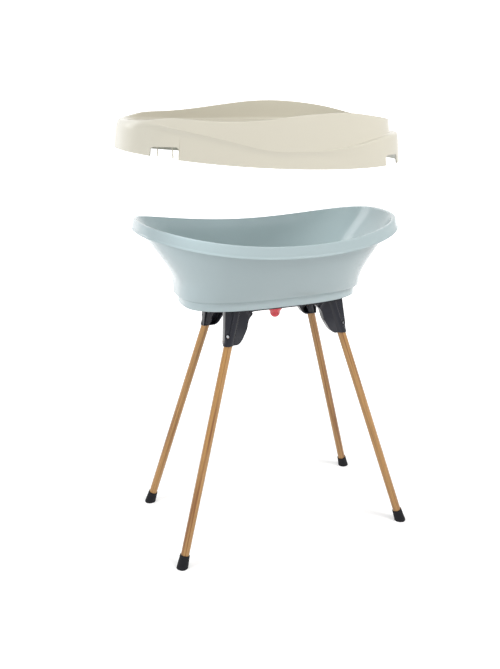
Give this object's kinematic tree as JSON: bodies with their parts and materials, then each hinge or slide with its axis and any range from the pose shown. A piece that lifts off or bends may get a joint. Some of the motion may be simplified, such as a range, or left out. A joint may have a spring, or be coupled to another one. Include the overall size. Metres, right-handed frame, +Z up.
{
  "type": "changing board with bathtub",
  "caption": "Changing board with skirt and raised wall over a baby bath with a drain, on a stand of black rails and splayed wooden legs.",
  "frame": {"origin": "on the floor, at the middle of the overall length and width as stored, with the changing board lifted off", "axes": "+Z up, +X along the bath towards its head end, +Y from the front of the stand to its back"},
  "size_m": [0.8391, 0.5201, 1.3172],
  "materials": {
    "board_plastic": "smooth satin",
    "bath_plastic": "soft gloss",
    "stand_plastic": "fine grained matt",
    "leg_wood": "clear satin lacquer",
    "foot_rubber": "matt",
    "seal_rubber": "matt",
    "cap_plastic": "gloss",
    "screw_steel": "zinc plated",
    "insert_brass": "turned"
  },
  "bodies": {
    "stand": {"front_rail": "stand_plastic", "back_rail": "stand_plastic", "left_cross_bar": "stand_plastic", "right_cross_bar": "stand_plastic", "cross_bar_screws": "screw_steel", "leg_screws": "screw_steel", "leg_inserts": "insert_brass", "leg_front_left": "leg_wood", "leg_front_right": "leg_wood", "leg_back_left": "leg_wood", "leg_back_right": "leg_wood", "foot_front_left": "foot_rubber", "foot_front_right": "foot_rubber", "foot_back_left": "foot_rubber", "foot_back_right": "foot_rubber"},
    "bath": {"bath_tub": "bath_plastic", "drain_outlet": "bath_plastic", "outlet_seal": "seal_rubber"},
    "drain_plug": {"drain_cap": "cap_plastic", "cap_seal": "seal_rubber"},
    "board": {"changing_board": "board_plastic"}
  },
  "joints": [
    {"name": "bath_lift", "type": "slide", "parent": "stand", "child": "bath", "axis": [0, 0, 1], "range_m": [0, 0.15]},
    {"name": "board_lift", "type": "slide", "parent": "bath", "child": "board", "axis": [-0.0932, 0, 0.9956], "range_m": [-0.236, 0]},
    {"name": "drain_cap_pull", "type": "slide", "parent": "bath", "child": "drain_plug", "axis": [0, 0, -1], "range_m": [0, 0.04]}
  ]
}
